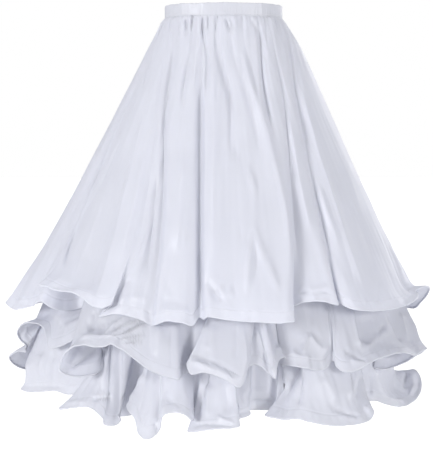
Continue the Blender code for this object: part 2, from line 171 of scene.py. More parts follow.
lowerHem = [
    (21.5, 388.5, 0, 25), (25, 390.7, -3, 15), (35, 391, -7, 8), (45, 390.5, -10.5, 5, 0.4),
    (56, 390.5, -14, 0, 0.4), (69, 394, -17, 0, 0.4), (79, 392, -18.5, 0, 0.4),
    (86, 387, -19.5, 0, 0.4), (82, 392, -20, 0, 0.4), (68, 402, -21, 10, 0.4),
    (59.5, 409, -22.5, 20, 0.4), (66, 408, -24, 20, 0.4), (75, 406.8, -25.8, 18, 0.5),
    (85, 406, -27.6, 15, 0.5), (92, 408, -29, 12, 0.5), (98, 413, -30.4, 15, 0.45),
    (103, 418, -31.2, 20, 0.42), (104, 422.5, -31.9, 30, 0.4), (110, 424.5, -32.2, 30, 0.4),
    (117, 423, -32, 30, 0.4), (119.5, 419.5, -31.8, 20, 0.4), (118.5, 416, -31.5, 5, 0.4),
    (120.5, 411.5, -31.1, 0, 0.42), (122.5, 407.5, -30.6, 0, 0.45), (124.5, 402, -29.4, 0, 0.5),
    (120, 409, -27, 0, 0.6), (117, 415.5, -25.8, 0, 0.5), (127, 415.5, -26, 0, 0.5),
    (135, 413, -26.6, 0, 0.5), (131, 408, -29, 0, 0.45), (126, 404.5, -32.5, 20, 0.4),
    (128.5, 410.5, -34.3, 18, 0.38), (134, 416.5, -35.4, 12, 0.35), (137, 425, -36, 6, 0.32),
    (139, 433, -36.3, 4), (143.5, 437.7, -36.5, 4), (149.5, 438, -36.5, 4), (155.5, 434.5, -36.1, 6),
    (159, 428, -35.6, 6), (160, 421.3, -35.6, 6), (161.5, 416, -35.9, 16, 0.32),
    (167, 412.3, -36.3, 20, 0.36), (175, 410.8, -36.6, 20, 0.4), (184, 412.8, -36.6, 15, 0.45),
    (193.5, 420, -35.8, 5, 0.5), (194.5, 413, -32, 0, 0.5), (194, 407, -30.8, 0, 0.5),
    (199, 408, -30.8, 0, 0.5), (198, 416, -31.8, 0, 0.5), (192, 424, -32.6, 5, 0.25),
    (186.5, 430, -34, 16, 0.1), (194, 430.5, -35.6, 20, 0.12), (205, 429, -36.7, 28),
    (220, 427.5, -37.1, 22, 0.7), (232, 426.5, -37.1, 15, 0.7), (239.5, 426, -36.7, 8, 0.7),
    (239, 419.5, -33.5, 10), (241, 417.5, -31.5, 25, 0.06), (246.5, 416.3, -30.5, 35, 0.06),
    (250.8, 413.3, -29.8, 30, 0.06), (249, 410, -28.8, 10, 0.1), (256, 409.3, -27.8, 0, 0.5),
    (266, 409.5, -27.8, 0, 0.5), (277, 408.5, -27, 0, 0.6), (279, 407, -27.5, 0, 0.6),
    (273, 411, -29.5, 5, 0.12), (265, 414.8, -31, 20, 0.08), (274, 417, -33, 25, 0.1),
    (283, 418.8, -34.3, 25, 0.2), (292.5, 417.7, -34.8, 25, 0.35), (300, 418, -34.8, 20, 0.5),
    (308, 420.6, -34.6, 15, 0.5), (320, 423, -34, 15, 0.5), (333, 424.5, -33, 18, 0.5),
    (346, 424.5, -31.6, 25, 0.12), (359, 423, -29.7, 30, 0.12), (368, 420.3, -28, 35, 0.15),
    (373, 415, -26.5, 35, 0.06), (372.5, 409.5, -25, 25, 0.06), (368, 405.5, -24, 10, 0.08),
    (363.5, 404, -22.5, 0), (366, 400.7, -20, 0, 0.5), (376, 400.3, -18.5, 0, 0.5),
    (386, 403.7, -16.5, 5, 0.4), (395, 405.7, -13.5, 15, 0.4), (402, 405.6, -10.5, 30),
    (409, 403.5, -7.5, 45), (416, 398, -5, 60), (420.3, 390.5, -3, 75), (421, 382.5, -1.5, 85),
    (418.5, 374, -0.5, 90), (413, 368.5, 1, 80), (405, 372, 3.5, 50), (399, 384, 7, 20),
]

# How a tier's threads run: a row of its hem table, the picture's x where it passes the height that the
# tier's guideRing gives, and the waist angle in degrees that it hangs from, where that is set.
Guide = namedtuple("Guide", "row middle waistAngle", defaults=[None])

upperGuides = [
    (13, 101, -82), (20, 140, -70), (23, 149.5, -66), (28, 165, -58), (33, 196, -23),
    (36, 201.2, -20.5), (38, 204, -18), (41, 231, 3), (44, 285, 46), (47, 287, 50), (48, 290, 52),
    (52, 306, 76), (54, 308.5, 79), (57, 325, 92),
]

middleGuides = [
    (36, 118), (40, 150), (42, 177), (44, 183), (46, 205), (47, 207), (50, 224), (52, 249), (55, 251),
    (57, 254), (59, 262), (61, 267), (64, 282), (66, 287), (69, 329), (71, 330.5), (72, 332),
    (74, 338), (77, 362), (79, 386),
]

lowerGuides = [
    (10, 94), (16, 107), (18, 112), (20, 118), (22, 123), (24, 127), (26, 128), (28, 147), (30, 144),
    (32, 147.5), (34, 151.5), (36, 156), (38, 161), (40, 165), (42, 171.5), (44, 178), (47, 200),
    (50, 206), (53, 220), (55, 234), (59, 243), (63, 288), (66, 284), (70, 303), (75, 346), (77, 355),
    (80, 358), (83, 374),
]

# Fullness at the sides: angle and spread in degrees, the shares of the length where it starts and is full,
# and how far it stands out in metres.
Bulge = namedtuple("Bulge", "angle spread start full out")

upperBulges = [(96, 48, 0.0, 0.11, 0.0125), (-96, 40, 0.5, 0.9, 0.004)]
middleBulges = [(100, 40, 0.5, 0.85, 0.02)]
lowerBulges = [(-92, 26, 0.6, 0.88, 0.03)]

# Creases of the cloth as they show in the picture: a path in pixels, depth in millimetres into the cloth
# (below zero stands out), width in pixels on the left and on the right, the same where one is given, and how
# steep and flat-bottomed it is.
Crease = namedtuple("Crease", "path depth left right steep", defaults=[None, 1.3])

upperCreases = [
    # from the waist down, left of the deep valley
    (((156, 42), (150, 62), (145, 78), (142, 92)), 5, 2, 4),
    (((176, 28), (173, 48), (170, 72), (167, 96), (164, 122), (161, 150)), 2.4, 3.6, 4),
    (((192, 40), (188, 62), (184, 84), (180, 110)), 3, 2, 3.5),
    (((222, 58), (227, 78), (231, 96), (233, 112)), 4, 2.4, 2),
    (((238, 54), (244, 72), (250, 92), (256, 112)), 3, 2.2, 2),
    (((243, 40), (249, 60), (255, 84), (260, 104)), 2.4, 1.6),
    (((137, 80), (128, 105), (118, 131), (108, 156), (98, 178), (88, 197)), 5.5, 4, 6),
    (((124, 136), (113, 161), (104, 181), (94, 197), (85, 213), (77, 230), (71, 246), (66, 262),
      (59, 280)), 9, 4, 6),
    (((76, 232), (70, 248), (64, 268)), 3, 4, 5),
    (((106, 156), (95, 176), (84, 194), (74, 212), (70, 228), (66, 244)), 3, 3, 4),
    (((67, 220), (60, 244), (55, 264), (49, 284)), 3, 4),
    (((170, 20), (166, 36), (163, 60), (161, 82), (158, 108), (155, 135), (152, 162), (149, 182),
      (145, 205), (141, 226), (136, 246), (130, 266)), 3.4, 5),
    (((180, 26), (174, 52), (171, 74), (168, 92), (166, 112), (165, 132), (164, 160), (164, 190),
      (163, 215), (161, 240), (157, 268), (154, 292)), 6.5, 5, 2.4),
    (((158, 170), (153, 225), (146, 283)), 7, 6),
    (((186, 16), (187, 27), (189, 40)), 2.5, 2),
    (((192, 11), (192, 30), (190, 52)), 2.5, 2, 2.5),
    (((188, 62), (184, 82), (180, 104)), 2.5, 4),
    (((197, 36), (195, 66), (193, 96)), -2.5, 3),
    (((185, 150), (180, 200), (176, 255)), -6, 10, 9),
    (((144, 150), (136, 195), (126, 240), (118, 275)), -4, 8, 6),
    (((88, 205), (91, 232), (90, 258)), -2, 7),
    (((76, 258), (84, 255), (93, 258)), 1.8, 4, 3),
    (((21, 283), (25, 294), (30, 306)), -3, 2),
    (((120, 284), (135, 282), (150, 284)), 2.2, 2.4),
    (((118, 299), (134, 297), (150, 299)), -2.6, 2.6, 2.2),
    (((157, 300), (172, 302), (190, 304)), 2.2, 2.8, 2.2),
    (((160, 309), (175, 310), (190, 309)), -2.2, 2.6),
    (((296, 292), (312, 294), (332, 291)), 2.2, 1.8),
    (((297, 287), (314, 289), (330, 286)), -2, 1.8),
    (((30, 282), (35, 292), (41, 300)), 3, 2),
    (((13, 289), (17, 298), (22, 307)), 2.5, 1.6),
    # the deep valley and what stands beside it
    (((202, 16), (203, 34), (205, 46), (207, 60), (206, 78), (204, 97)), 4.5, 2, 1.3),
    (((203, 44), (202, 60), (201.3, 76)), 2.5, 2.6, 2),
    (((201.8, 56), (201.1, 80), (201, 112), (201, 150), (201, 195), (201.2, 232), (201.4, 270),
      (201, 305), (200.6, 330)), 8.4, 4.6, 2, 2.2),
    (((212, 38), (213, 80), (214, 120), (213, 170), (213, 230), (214, 278)), -6, 7, 9),
    # the wide front flute
    (((219, 17), (215, 28), (215, 40), (218, 56), (222, 74), (227, 92), (230, 110), (230, 130),
      (230, 152)), 3.6, 2, 3.4),
    (((231, 28), (232, 50), (236, 64), (241, 78), (246, 94), (251, 110), (255, 125), (258, 140),
      (260, 158)), 3.8, 2.4, 3.4),
    (((237, 38), (246, 74), (256, 98), (264, 120), (270, 145), (277, 172), (284, 196), (288, 220),
      (290, 250), (290, 288)), -6.5, 6, 5),
    (((243, 160), (250, 175), (257, 192)), -4, 2, 2.5),
    (((225, 138), (236, 152), (249, 170), (262, 184)), 2.6, 2.4, 3),
    (((262, 160), (272, 170), (283, 176)), -3, 2.6),
    (((268, 166), (276, 180), (286, 188)), 2.6, 2.6),
    (((176, 224), (183, 231), (190, 229)), -2.8, 2.4),
    (((178, 236), (185, 239), (191, 236)), 2.4, 2),
    (((240, 228), (250, 226), (258, 232)), -3, 3),
    (((238, 236), (246, 240), (250, 250)), 2.4, 3),
    (((253, 231), (249, 250), (248, 272), (247, 297)), -4, 2.6, 3),
    (((254, 231), (261, 248), (267, 262), (273, 276), (281, 292)), -5, 3),
    (((254, 246), (257, 262), (253, 282)), 3.5, 3),
    (((205, 279), (211, 288), (217, 296), (223, 301)), 5, 4),
    (((217, 289), (226, 294), (234, 289)), -5, 4, 3.5),
    (((160, 270), (167, 284), (175, 296)), 1.6, 3),
    # puckers where the cloth meets the band
    (((225, 18), (228, 26), (232, 33)), 4, 1.4, 1.2),
    (((230, 17), (232, 27)), 3, 1),
    (((203, 15), (203, 25), (204, 35)), 3, 1.2),
    (((208, 15), (208, 24), (207, 32)), 2.8, 1.1),
    (((218, 14), (216, 22), (215, 34)), 3, 1.3),
    (((193, 14), (192, 24), (190, 36)), 3, 1.3),
    (((186, 18), (186, 30), (184, 40)), 2.4, 1.3),
    (((273, 17), (275, 22), (277, 26)), 3, 1),
    (((277, 17), (278, 21), (279, 26)), 2.6, 1),
    (((242, 14), (242, 24), (243, 32)), 2.4, 1.4),
    (((252, 20), (255, 26), (257, 34)), 3, 1.2),
    (((265, 22), (266, 32), (267, 46)), 2.4, 1.4),
    (((174, 17), (173, 30), (172, 44)), 2.4, 1.6),
    (((180, 18), (179, 28), (177, 42)), 2, 1.4),
    # right of the wide flute
    (((255, 17), (258.5, 31), (260, 46), (261, 62), (262, 80), (264, 95), (266, 108), (269, 120),
      (273, 134)), 6.4, 1.8, 3),
    (((262, 30), (266, 60), (269, 80), (272, 98), (275, 112)), 2.4, 1.4, 1.6),
    (((264, 30), (267, 60), (271, 95), (275, 126)), -2.5, 3.5),
    (((271, 26), (273, 42), (276, 60), (279, 78), (282, 94), (284, 108), (286, 124), (288, 145),
      (289, 165), (290, 185), (292, 205), (294, 228), (297, 250), (299, 270)), 4.8, 2.6, 4),
    (((288, 108), (293, 140), (297, 165), (302, 190), (307, 215), (312, 242)), -5, 5, 6),
    (((283, 17), (285.5, 34), (288.5, 54), (292, 75), (295, 93), (299, 112), (303, 132), (306, 150),
      (309, 168), (313, 186), (317, 203), (322, 224), (327, 245), (331, 264), (335, 286)), 7, 3, 5),
    (((298, 72), (306, 105), (314, 130), (321, 155), (329, 182), (337, 206), (345, 232), (354, 258),
      (361, 280), (366, 300)), -7, 5, 7),
    (((318, 186), (325, 206), (332, 226), (340, 247)), -4.5, 3, 4),
    (((343, 158), (351, 180), (358, 200), (365, 220)), -4.5, 5, 4),
    (((351, 203), (361, 228), (368, 246), (376, 264)), 6, 7, 5),
    (((376, 222), (384, 243), (392, 260)), -2.4, 3),
    (((376, 260), (386, 267), (395, 275)), -2.8, 3),
    (((378, 281), (379, 292), (379, 304)), 3, 3, 4),
    (((401, 303), (408, 298), (415, 292)), 2.6, 1.8),
    (((406, 305), (413, 301), (419, 295)), -2.2, 1.6),
    (((404, 276), (412, 281), (422, 285)), 1.8, 1.6),
    (((382, 236), (390, 252), (400, 268)), 2.5, 2.4),
    (((338, 112), (350, 140), (362, 168)), -2.6, 2.6, 3),
    (((345, 136), (358, 166), (370, 194)), 3, 2.4),
    (((372, 196), (384, 222), (396, 250)), -3, 2.6),
]

middleCreases = [
    # the rolled left mouth and its wrinkles
    (((78, 343), (92, 339.5), (106, 339.5), (120, 343)), -9, 4.6),
    (((86, 330), (96, 327), (107, 329)), 6, 4),
    (((95, 310), (93, 322), (90, 333)), 3, 2.4),
    (((104, 337), (112, 327), (124, 317)), -5, 1.7),
    (((109, 338), (124, 328), (142, 317)), -5, 1.7),
    (((113, 341), (129, 333), (148, 322)), -5, 1.7),
    (((117, 343), (131, 339.5), (146, 335)), -4.5, 1.6),
    (((122, 346), (133, 344.5), (143, 341)), -3.6, 1.5),
    (((113, 333), (120, 325), (131, 318)), 3, 1.6),
    (((120, 336), (133, 327), (146, 319)), 3, 1.5),
    (((97, 350), (84, 359), (70, 369)), 3.5, 2.2),
    (((80, 350), (75, 358), (70, 365)), -2.5, 4),
    (((150, 325), (149, 345), (152, 360)), 2, 4),
    (((160, 325), (160, 342), (158, 358)), -4, 7, 6),
    (((172, 325), (170, 350), (172, 372)), 2, 3),
    # left lobes
    (((50, 312), (62, 318), (66, 330)), -2.5, 5),
    (((58, 324), (64, 326), (70, 323)), 1.6, 2),
    (((36, 336), (30, 345), (27, 358)), 2, 4),
    (((27, 326), (24, 335), (27, 343)), -2, 2.5),
    # the front flute with its crinkled cuff
    (((188, 354), (203, 358), (222, 365), (242, 377)), 3, 1.8, 1.6),
    (((187, 359), (200, 364), (215, 369), (238, 382)), -3, 2.4),
    (((206, 362), (213, 367), (219, 372)), 1.8, 1.2),
    (((196, 360), (202, 365), (206, 370)), -1.8, 1.3),
    (((224, 367), (229, 372), (233, 379)), 1.8, 1.3),
    (((215, 325), (212, 342), (208, 354)), -3, 7),
    (((243, 328), (246, 348), (246, 366)), -2.5, 2),
    (((236, 326), (237, 345), (235, 360)), 1.6, 3),
    # pointed flute and the curl beside it
    (((256, 328), (262, 345), (268, 360)), -3, 3),
    (((267, 352), (269, 362), (274, 374)), -2.6, 1.6),
    (((263, 350), (266, 360), (271, 370)), 2.2, 1.5),
    (((276, 346), (283, 352), (286, 361)), -3, 2.5),
    # the lobe right of it
    (((325, 303), (329, 325), (329, 345), (322, 357)), -4.5, 3),
    (((309, 333), (306, 344), (302, 354)), -3.5, 2.4),
    (((310, 333), (316, 343), (323, 350)), -2.8, 2.2),
    (((302, 337), (299, 346), (299, 355)), 2.4, 2.4),
    (((288, 350), (300, 356), (313, 358)), -2.5, 3),
    # the wide right flute
    (((351, 306), (353, 322), (357, 338), (362, 351)), -5, 4, 3),
    (((366, 315), (367, 330), (364, 344)), 5, 6, 8),
    (((360, 352), (371, 343), (381, 334), (392, 329)), -4, 2.6),
    (((376, 338), (381, 330), (386, 323)), 2.6, 2),
    (((344, 351), (355, 356), (367, 362)), 2.6, 1.8),
    (((350, 360), (358, 362), (366, 361)), -2.2, 1.8),
    (((386, 312), (392, 322), (397, 334), (403, 344)), 4, 2.4, 2.8),
    (((400, 312), (404, 328), (407, 342)), -3, 3),
    (((409, 338), (413, 344), (418, 350)), 2, 1.8),
]

lowerCreases = [
    # left part
    (((24, 386), (42, 386), (66, 387)), 1.6, 1.3),
    (((40, 352), (40, 366), (44, 380)), -3, 5),
    (((54, 352), (50, 364), (48, 378)), 3, 4),
    (((91, 400), (101, 398), (113, 399)), 3, 1.6),
    (((92, 396), (102, 394), (112, 395)), -1.8, 1.5),
    (((103, 352), (104, 370), (100, 392)), -1.4, 3.5),
    (((94, 404), (96, 394), (101, 380)), 1.6, 2.4),
    (((66, 404), (78, 402), (92, 403)), -1.8, 1.6),
    # left front flute
    (((144, 372), (136, 386), (128, 402)), -3.5, 2.4),
    (((164, 398), (172, 401), (182, 407)), 1.8, 3),
    (((150, 412), (144, 418), (140, 428)), -1.8, 2),
    (((154, 423), (157, 428), (155, 433)), 3, 1.8),
    # middle front flute with its cuff
    (((209, 382), (208, 400), (207, 418)), -4, 3.4, 4),
    (((203, 388), (201, 404), (196, 420)), 2.4, 2.4),
    (((224, 384), (227, 402), (228, 414)), 2, 4),
    (((216, 416), (225, 420), (235, 424)), -2.6, 1.8),
    (((191, 426), (206, 423.5), (222, 424.5), (237, 426)), 3, 1.3),
    # recess right of it
    (((240, 388), (256, 391), (272, 390)), -1.8, 2.5),
    (((244, 398), (258, 400), (272, 399)), 1.5, 2),
    (((238, 414), (244, 412), (250, 411)), 2, 1.4),
    # wide right flute
    (((303, 370), (302, 388), (298, 406)), 4.5, 3, 4),
    (((285, 370), (289, 388), (290, 408)), -3, 4),
    (((330, 408), (344, 412), (361, 417)), 3, 1.8),
    (((338, 416), (352, 419), (364, 419)), -2, 2),
    (((361, 374), (359, 387), (356, 400)), 4, 2),
    (((355, 372), (352, 386), (348, 400)), -2.5, 3),
    (((320, 376), (330, 390), (336, 404)), -3, 8),
    (((362, 406), (368, 409), (370, 414)), -2, 1.8),
    # right scroll
    (((407, 370), (405.5, 379), (404, 390)), 7, 2, 1.8),
    (((400, 369), (400, 380), (402, 392)), -3.5, 2),
    (((395, 370), (394, 382), (397, 394)), 3, 2),
    (((412, 371), (414, 384), (409, 396)), -2.5, 2.2),
    (((417.5, 376), (418, 387), (412, 398)), 1.8, 1.6),
    (((378, 374), (384, 386), (391, 398)), 3, 3.5),
    (((370, 372), (371, 384), (370, 396)), 3, 2.5),
    (((386, 399), (396, 401), (405, 400)), -2.2, 2.2),
]

# The tiers, from the outside in. level and halfWidth give the plain hem, guideRing the share of the length
# where the guides hold, backRaise how far the hem rises behind the left side, layer the number from outside,
# seed what chance picks, and halfCut the flat width and length of either half.
Tier = namedtuple("Tier", (
    "name level halfWidth front guides guideRing bulges creases backRaise frontColumns layer seed halfCut"))

tiers = [
    Tier("upper_tier", -0.665, 0.458, upperHem, upperGuides, 0.52, upperBulges, upperCreases,
         0.0, 680, 0, 11, (1.05, 0.74)),
    Tier("middle_tier", -0.785, 0.465, middleHem, middleGuides, 0.85, middleBulges, middleCreases,
         0.004, 980, 1, 12, (1.16, 0.84)),
    Tier("lower_tier", -0.890, 0.455, lowerHem, lowerGuides, 0.88, lowerBulges, lowerCreases,
         0.028, 980, 2, 13, (1.22, 0.94)),
]


def leanAt(height):
    # how far the skirt's axis has moved aside at this height
    return skirt["sideLean"] * np.clip(-height / skirt["leanHeight"], 0, 1)


def frontRows(tier):
    # hem rows as place x, y, z, roll in radians and rise
    rows = np.array([HemPoint(*row) for row in tier.front], float)
    places = seenAt(rows[:, 0], rows[:, 1], rows[:, 2] / 100)
    return np.column_stack([places, np.radians(rows[:, 3]), rows[:, 4]])


# Flutes of the side that the photograph hides. A pair gives the least and the most that chance may pick.
backFlute = {
    "count": 10,
    "columns": 440,                   # threads round that side
    "place": (0.43, 0.67),            # of the crest, as a share of the pitch
    "out": (0.97, 1.03),              # as shares of the hem's half width
    "drop": (-0.006, 0.020),          # metres below the plain hem
    "rolls": (0, 5, 15, 35, 60),      # degrees
    "halfWidth": (0.26, 0.36),        # as a share of the pitch
    "valleyOut": (0.72, 0.82),
    "valleyDrop": (-0.022, 0.002),
    "shoulderDrop": (-0.004, 0.006),  # added for the right shoulder
    "raised": 3,                      # last flutes, over which the hem rises
}


def backRows(tier, front):
    # hem rows of the hidden side, from the right side round to the left
    chance = random.Random(tier.seed)
    lean = skirt["sideLean"]
    startAngle = math.atan2(front[-1, 0] - lean, -front[-1, 1] / skirt["depthShare"])
    endAngle = math.atan2(front[0, 0] - lean, -front[0, 1] / skirt["depthShare"]) + 2 * math.pi
    count = backFlute["count"]
    pitch = (endAngle - startAngle) / (count + 0.5)
    rows = []
    for number in range(count):
        crest = startAngle + pitch * (number + chance.uniform(*backFlute["place"]))
        out = chance.uniform(*backFlute["out"])
        drop = chance.uniform(*backFlute["drop"])
        drop -= tier.backRaise * max(0, (number - count + 1 + backFlute["raised"]) / backFlute["raised"])
        roll = math.radians(chance.choice(backFlute["rolls"]))
        halfWidth = chance.uniform(*backFlute["halfWidth"]) * pitch
        valleyOut = chance.uniform(*backFlute["valleyOut"])
        valleyDrop = chance.uniform(*backFlute["valleyDrop"])
        shoulderDrop = chance.uniform(*backFlute["shoulderDrop"])
        # left edge, left shoulder, crest, right shoulder and right edge: aside, out, drop, roll and rise
        shape = (
            (-1.05, out * 0.93, drop - 0.006, roll * 0.4, 0.6),
            (-0.75, out * 0.985, drop, roll * 0.8, 0.7),
            (0, out, drop + 0.003, roll, 0.8),
            (0.75, out * 0.985, drop + shoulderDrop, roll * 0.8, 0.7),
            (1.05, out * 0.93, drop, roll * 0.3, 0.6),
        )
        for aside, share, lower, turn, rise in shape:
            rows.append((crest + aside * halfWidth, share, lower, turn, rise))
        if number < count - 1:
            rows.append((crest + pitch * 0.5, valleyOut, valleyDrop, 0, 0.8))
    angle, out, drop, roll, rise = np.array(rows).T
    radius = tier.halfWidth * out
    across = lean + radius * np.sin(angle)
    behind = -radius * skirt["depthShare"] * np.cos(angle)
    return np.column_stack([across, behind, tier.level - drop, roll, rise])


# The hem's line round the skirt
trace = {
    "stepsPerRow": 24,     # points that the curve has for each row of the table
    "samples": 6000,       # even steps that it is then cut into
    "smoothed": 9,         # steps that are smoothed together
}


def blended(one, other, start, end, place):
    # straight from one to the other between start and end
    return ((end - place) * one + (place - start) * other) / (end - start)


def closedSpline(rows):
    # a smooth closed curve through all rows, even where they lie close
    count = len(rows)
    step = np.linalg.norm(np.diff(np.vstack([rows, rows[:1]])[:, :3], axis=0), axis=1) ** 0.5
    made = []
    for index in range(count):
        near = [rows[(index + shift) % count] for shift in (-1, 0, 1, 2)]
        knots = np.cumsum([0, step[index - 1], step[index], step[(index + 1) % count]])
        place = np.linspace(knots[1], knots[2], trace["stepsPerRow"], endpoint=False)[:, None]
        first = [blended(near[at], near[at + 1], knots[at], knots[at + 1], place) for at in range(3)]
        second = [blended(first[at], first[at + 1], knots[at], knots[at + 2], place) for at in range(2)]
        made.append(blended(second[0], second[1], knots[1], knots[2], place))
    return np.vstack(made)


def blurRound(values, width):
    # mean over a window of samples, going round
    kernel = np.ones(width) / width
    padded = np.vstack([values[-width:], values, values[:width]])
    smooth = np.column_stack([np.convolve(column, kernel, mode="same") for column in padded.T])
    return smooth[width:-width]


def hemLine(tier):
    # the whole hem at even steps of its length, from the left side on, and where the front rows lie on it
    front = frontRows(tier)
    line = closedSpline(np.vstack([front, backRows(tier, front)]))
    closed = np.vstack([line, line[:1]])
    lengths = np.linalg.norm(np.diff(closed[:, :3], axis=0), axis=1)
    along = np.concatenate([[0], np.cumsum(lengths)])
    even = np.linspace(0, along[-1], trace["samples"], endpoint=False)
    line = np.column_stack([np.interp(even, along, column) for column in closed.T])
    rowPlaces = along[trace["stepsPerRow"] * np.arange(len(front))] / along[-1]
    return blurRound(line, trace["smoothed"]), along[-1], rowPlaces


def polar(points, tier):
    # angle from the front round the leaning axis, and share of the tier's hem radius
    across = points[:, 0] - leanAt(points[:, 2])
    ahead = -points[:, 1] / skirt["depthShare"]
    return np.unwrap(np.arctan2(across, ahead)), np.hypot(across, ahead) / tier.halfWidth


def rollShift(roll, along, slope):
    # how far out and up the cloth is moved by the turn, this far into it
    roll = np.where(np.abs(roll) < 1e-3, 1e-3, roll)
    bent = np.minimum(along, skirt["bendLength"])
    beyond = np.clip(along - skirt["bendLength"], 0, None)
    turned = slope + roll * bent / skirt["bendLength"]
    arc = skirt["bendLength"] / roll
    outward = arc * (math.cos(slope) - np.cos(turned)) + np.sin(slope + roll) * beyond
    upward = arc * (math.sin(slope) - np.sin(turned)) - np.cos(slope + roll) * beyond
    return outward - math.sin(slope) * along, upward + math.cos(slope) * along


def soft(share):
    # 0 to 1 with a soft start and end
    share = np.clip(share, 0, 1)
    return share * share * (3 - 2 * share)


# How the folds of the hem go up the skirt
drape = {
    "foldStart": 1.2,        # how softly a fold starts where its rise ends
    "foldFade": 0.3,         # how fast folds lessen towards the waist
    "hemSpan": 22,           # the broad form is the hem smoothed twice over this part of its round
    "waistSpan": 12,         # the same for the angles at the waist
    "guideOut": 0.965,       # reach of the cloth at the guides, as a share of the plain cone's
    "guideRounds": 6,
    "guideStart": 0.03,      # share of the round where guides begin to hold
    "guideEnd": 0.02,        # share by which they reach past the front's last row
    "guideSmoothed": 61,     # steps that are smoothed together
    "bulgeEnd": 0.08,        # share of the length above the hem over which bulges end
    "creaseEnd": 0.2,        # share of a crease's length over which it fades at either end
    "creaseShare": 1.6,      # how strongly the creases of the tables show
}


def foldShare(ring, rise):
    # how much of the hem's folds shows at this share of the length
    return np.clip((ring - (1 - rise)) / rise, 0, 1) ** drape["foldStart"] * ring ** drape["foldFade"]


def angleSeenAt(x, radius, lean):
    # the angle round a ring of the skirt that shows at the picture's x
    turned = 0.0
    for repeat in range(drape["guideRounds"]):
        ahead = shot["distance"] - radius * skirt["depthShare"] * math.cos(turned)
        across = (x - shot["pictureSize"][0] / 2) / shot["focal"] * ahead + shot["across"]
        turned = math.asin(max(-0.99, min(0.99, (across - lean) / radius)))
    return turned


def guideShifts(tier, rowPlaces, waistHalf, waist, straight, fine, rise):
    # turns of the waist angle and of the straight angle that bring the hem's rows to their guides
    count = len(waist)
    half = waistHalf + (tier.halfWidth - waistHalf) * tier.guideRing
    top = -skirt["bandHeight"] / 2
    lean = float(leanAt(top + (tier.level - top) * tier.guideRing))
    reach = tier.guideRing * tier.halfWidth / half
    places, waistShifts, straightShifts = [], [], []
    for guide in [Guide(*row) for row in tier.guides]:
        place = int(round(rowPlaces[guide.row] * count))
        turned = angleSeenAt(guide.middle, half * drape["guideOut"], lean)
        waistAngle = waist[place] if guide.waistAngle is None else math.radians(guide.waistAngle)
        fold = float(foldShare(tier.guideRing, rise[place]))
        wanted = (turned - waistAngle * (1 - reach) - fine[place] * fold) / (reach - fold)
        places.append(place)
        waistShifts.append(waistAngle - waist[place])
        straightShifts.append(wanted - straight[place])
    first = int(drape["guideStart"] * count)
    last = int((rowPlaces[-1] + drape["guideEnd"]) * count)
    places = [first] + places + [last]
    shifts = []
    for values in (waistShifts, straightShifts):
        shift = np.interp(np.arange(count), places, [0] + values + [0], left=0, right=0)
        shifts.append(blurRound(shift[:, None], drape["guideSmoothed"])[:, 0])
    return shifts


def bulgeOut(tier, angle, ring):
    # how far the sides stand out beyond the plain cone
    total = np.zeros(np.broadcast(angle, ring).shape)
    for bulge in [Bulge(*row) for row in tier.bulges]:
        aside = (np.degrees(angle) - bulge.angle + 180) % 360 - 180
        grown = soft((ring - bulge.start) / (bulge.full - bulge.start))
        grown = grown * soft((1 - ring) / drape["bulgeEnd"])
        total = total + bulge.out * np.exp(-(aside / bulge.spread) ** 2) * grown
    return total


def creaseDepth(u, v, creases):
    # depth in metres at places u, v from creases given in the same measures
    total = np.zeros(u.shape)
    for crease in [Crease(*row) for row in creases]:
        path = np.array(crease.path, float)
        steps = np.diff(path, axis=0)
        lengths = np.hypot(steps[:, 0], steps[:, 1])
        nearest = np.full(u.shape, np.inf)
        side = np.zeros(u.shape)
        share = np.zeros(u.shape)
        for index, step in enumerate(steps):
            offU, offV = u - path[index, 0], v - path[index, 1]
            along = np.clip((offU * step[0] + offV * step[1]) / lengths[index] ** 2, 0, 1)
            distance = np.hypot(offU - along * step[0], offV - along * step[1])
            closer = distance < nearest
            nearest = np.where(closer, distance, nearest)
            side = np.where(closer, offU * step[1] - offV * step[0], side)
            share = np.where(closer, (lengths[:index].sum() + along * lengths[index]) / lengths.sum(), share)
        right = crease.left if crease.right is None else crease.right
        width = np.where(side > 0, right, crease.left)
        fade = soft(np.minimum(share, 1 - share) / drape["creaseEnd"])
        total += crease.depth / 1000 * fade * np.exp(-(nearest / width) ** crease.steep)
    return total


# Creases of the hidden sides, placed in degrees round and percent of the length. A pair gives the least and
# the most that chance may pick.
sideCrease = {
    "first": 78,
    "span": 204,
    "upperCount": 30,
    "lowerCount": 16,
    "upperStarts": (1, 2, 3, 12, 25, 38),
    "lowerStart": (55, 80),
    "length": (22, 75),
    "drift": (-5, 5),
    "depths": (-4.5, -3, -2.5, 2.5, 3, 4, 6, 9),
    "width": (1.3, 3.2),
}


def sideCreases(tier):
    chance = random.Random(tier.seed + 40)
    rows = []
    number = sideCrease["upperCount"] if tier.layer == 0 else sideCrease["lowerCount"]
    for count in range(number):
        angle = sideCrease["first"] + sideCrease["span"] * (count + chance.uniform(0.1, 0.9)) / number
        if tier.layer == 0:
            start = chance.choice(sideCrease["upperStarts"])
        else:
            start = chance.uniform(*sideCrease["lowerStart"])
        end = min(start + chance.uniform(*sideCrease["length"]), 100)
        drift = chance.uniform(*sideCrease["drift"])
        depth = chance.choice(sideCrease["depths"])
        left, right = chance.uniform(*sideCrease["width"]), chance.uniform(*sideCrease["width"])
        middle = (angle + drift * 0.4 + chance.uniform(-1, 1), (start + end) / 2)
        rows.append((((angle, start), middle, (angle + drift, end)), depth, left, right))
    return rows


def gridNormals(points):
    # the outer side's direction at every point
    down = np.gradient(points, axis=0)
    along = np.roll(points, -1, axis=1) - np.roll(points, 1, axis=1)
    normal = np.cross(down, along)
    return normal / np.linalg.norm(normal, axis=2)[..., None]


